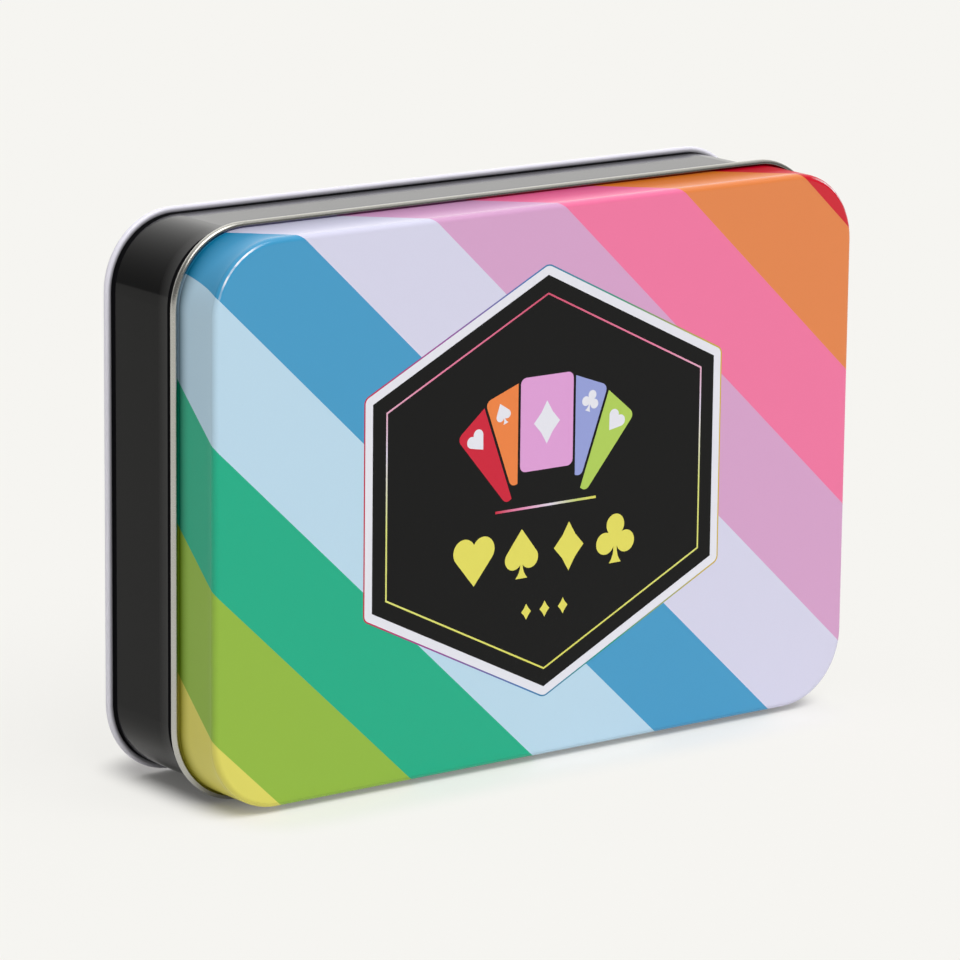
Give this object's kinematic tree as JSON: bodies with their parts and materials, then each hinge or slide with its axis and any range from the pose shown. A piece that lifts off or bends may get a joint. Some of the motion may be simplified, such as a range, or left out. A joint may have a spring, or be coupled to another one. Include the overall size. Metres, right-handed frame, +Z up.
{
  "type": "playing card tin",
  "caption": "Flat rectangular tinplate box with rounded corners and a slip lid, holding decks of playing cards in a formed tray.",
  "frame": {"origin": "middle of the footprint, at the lowest line of the lid's curl, with the tin standing on a long side", "axes": "+X along the long side, to the right as the lid's face is seen; +Y from the lid's face to the bottom panel; +Z up"},
  "size_m": [0.1464, 0.0344, 0.1046],
  "materials": {
    "lid_print": "satin lacquer over printed stripes",
    "black_lacquer": "gloss",
    "lilac_lacquer": "gloss",
    "tray_plastic": "satin",
    "card_stock": "smooth"
  },
  "bodies": {
    "base": {"base_wall": "black_lacquer", "base_bottom": "lilac_lacquer"},
    "tray": {"card_tray": "tray_plastic"},
    "left_deck": {"left_deck_spades_pips": "card_stock", "left_deck_spades_courts": "card_stock", "left_deck_hearts_pips": "card_stock", "left_deck_hearts_courts": "card_stock", "left_deck_clubs_pips": "card_stock", "left_deck_clubs_courts": "card_stock", "left_deck_diamonds_pips": "card_stock", "left_deck_diamonds_courts": "card_stock", "left_deck_jokers": "card_stock"},
    "right_deck": {"right_deck_spades_pips": "card_stock", "right_deck_spades_courts": "card_stock", "right_deck_hearts_pips": "card_stock", "right_deck_hearts_courts": "card_stock", "right_deck_clubs_pips": "card_stock", "right_deck_clubs_courts": "card_stock", "right_deck_diamonds_pips": "card_stock", "right_deck_diamonds_courts": "card_stock", "right_deck_jokers": "card_stock"},
    "lid": {"lid": "lid_print"}
  },
  "joints": [
    {"name": "tray_lift", "type": "slide", "parent": "base", "child": "tray", "axis": [0, -1, 0], "range_m": [0, 0.045]},
    {"name": "left_deck_lift", "type": "slide", "parent": "tray", "child": "left_deck", "axis": [0, -1, 0], "range_m": [0, 0.04]},
    {"name": "right_deck_lift", "type": "slide", "parent": "left_deck", "child": "right_deck", "axis": [0, -1, 0], "range_m": [0, 0.04]},
    {"name": "lid_lift", "type": "slide", "parent": "right_deck", "child": "lid", "axis": [0, -1, 0], "range_m": [0, 0.12]}
  ]
}
